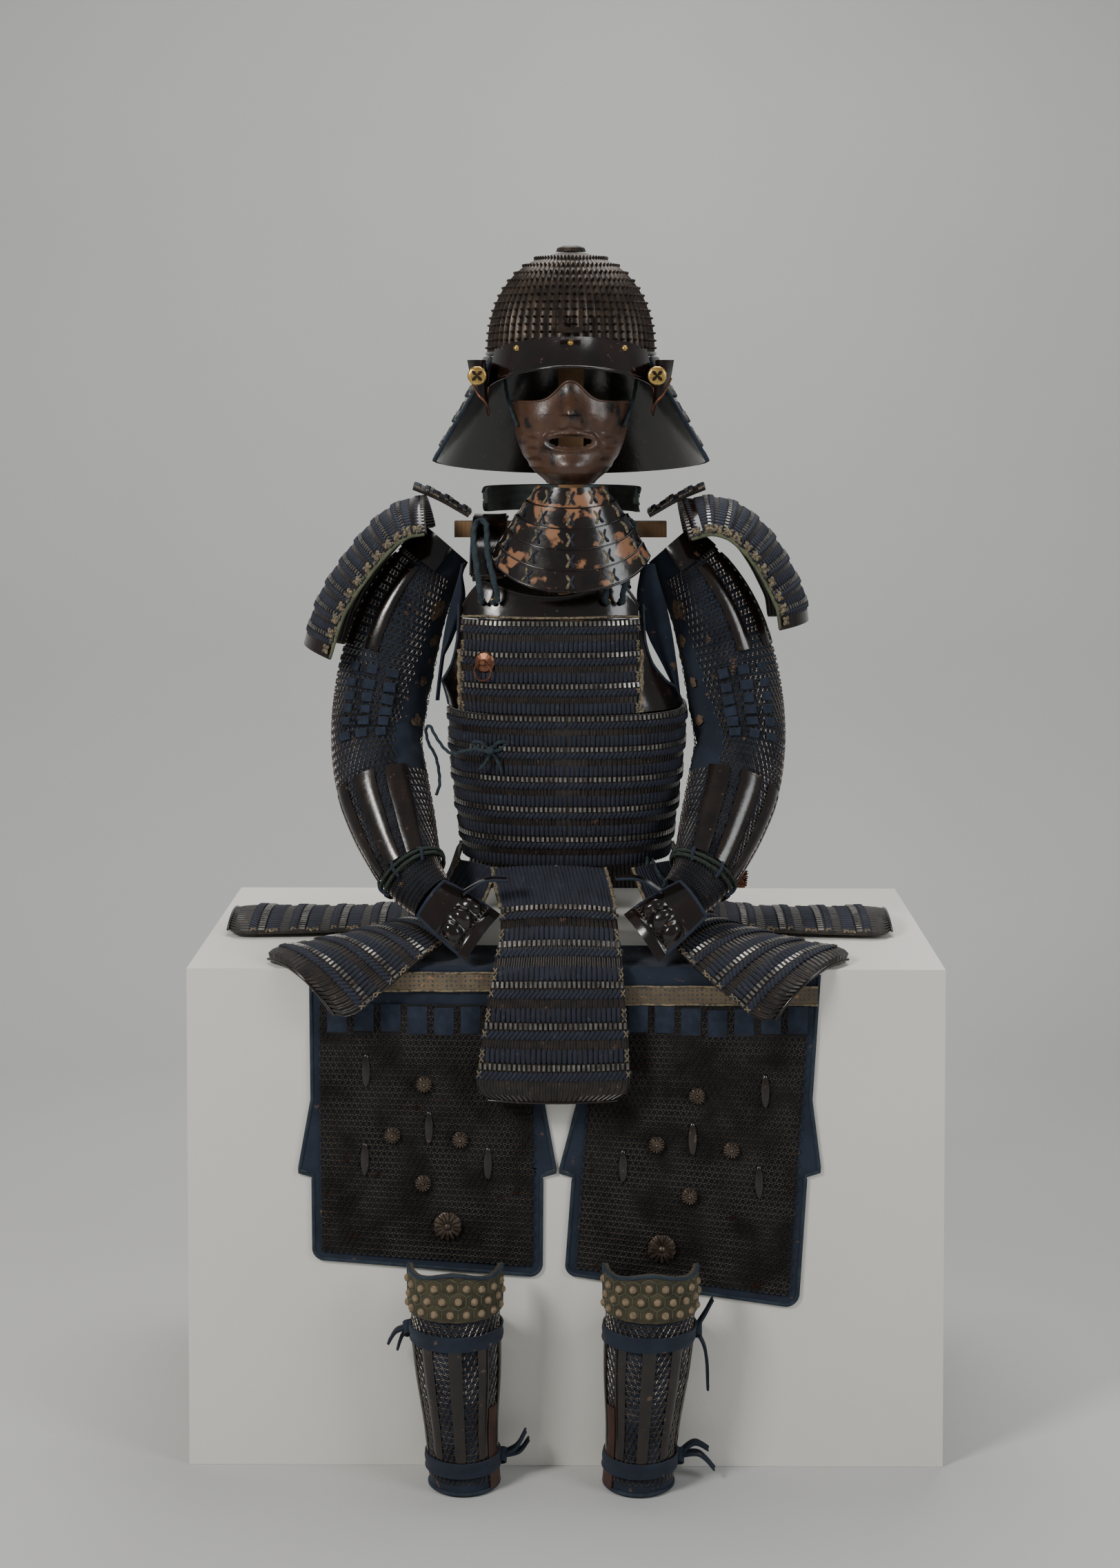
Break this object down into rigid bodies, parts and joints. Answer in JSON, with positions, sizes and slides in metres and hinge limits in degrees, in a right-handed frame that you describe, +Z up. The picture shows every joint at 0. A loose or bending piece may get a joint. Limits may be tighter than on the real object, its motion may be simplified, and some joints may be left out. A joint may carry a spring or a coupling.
{
  "type": "samurai armour on a display box",
  "caption": "Full suit of laced and mail-covered Japanese armour set up over a plain box: helmet, mask, cuirass, sleeves, skirts, thigh and shin guards, with a swinging breast ring.",
  "frame": {"origin": "middle of the display box's footprint, on the floor", "axes": "+Z up, the armour faces -Y, +X is the wearer's left side"},
  "size_m": [1.016, 0.6615, 1.6563],
  "materials": {
    "cloth": "indigo hemp cloth, faded, with small holes",
    "copper": "copper, satin",
    "cord": "braided silk cord, blue-green",
    "green_cord": "braided silk cord, faded green",
    "iron": "dark russet iron with worn lacquer",
    "laced": "black lacquered scales with dark blue silk lacing",
    "lacquer": "black-brown lacquer, glossy, worn at the edges",
    "mail": "dark iron mail on indigo cloth",
    "mask": "worn brown lacquer over iron",
    "padding": "quilted grey-green cloth",
    "painted_board": "smooth matt painted board, pale grey",
    "quilt": "hexagon-quilted olive cloth with cream studs",
    "tassel": "orange-brown silk tassel",
    "wood": "plain sanded softwood"
  },
  "bodies": {
    "armour": {"display_box": "painted_board", "armour_stand": "wood", "helmet_bowl": "iron", "helmet_crown_ring": "iron", "helmet_peak": "lacquer", "crest_bracket": "iron", "helmet_turnback_left": "lacquer", "helmet_turnback_right": "lacquer", "neck_guard": "laced", "face_mask": "mask", "throat_guard": "laced", "chest_plate": "lacquer", "front_chest_lames": "laced", "waist_lames": "laced", "armpit_plate_left": "lacquer", "armpit_plate_right": "lacquer", "back_lames": "laced", "back_plate": "lacquer", "shoulder_strap_left": "lacquer", "shoulder_wing_left": "padding", "shoulder_guard_left": "laced", "shoulder_strap_right": "lacquer", "shoulder_wing_right": "padding", "shoulder_guard_right": "laced", "neck_pad": "padding", "sleeve_left": "mail", "sleeve_gusset_left": "cloth", "wrist_tie_left": "green_cord", "hand_guard_left": "lacquer", "sleeve_right": "mail", "sleeve_gusset_right": "cloth", "wrist_tie_right": "green_cord", "hand_guard_right": "lacquer", "tasset_front": "laced", "tasset_front_left": "laced", "tasset_front_right": "laced", "tasset_rear_left": "laced", "tasset_rear_right": "laced", "tasset_back_left": "laced", "tasset_back_right": "laced", "thigh_guard_cloth_right": "cloth", "thigh_guard_mail_right": "mail", "thigh_guard_cloth_left": "cloth", "thigh_guard_mail_left": "mail", "shin_guard_right": "mail", "knee_pad_right": "quilt", "shin_tie_upper_right": "cloth", "shin_tie_lower_right": "cloth", "shin_guard_left": "mail", "knee_pad_left": "quilt", "shin_tie_upper_left": "cloth", "shin_tie_lower_left": "cloth", "chest_ring_boss": "copper", "shoulder_cord_left": "cord", "shoulder_cord_right": "cord", "side_tie_cord": "cord", "tassel": "tassel"},
    "chest_ring": {"chest_ring": "copper"}
  },
  "joints": [
    {"name": "chest_ring_swing", "type": "hinge", "parent": "armour", "child": "chest_ring", "pos_m": [-0.11553, -0.13968, 1.074], "axis": [-0.9397, 0.342, 0], "range_deg": [0, 150]}
  ]
}
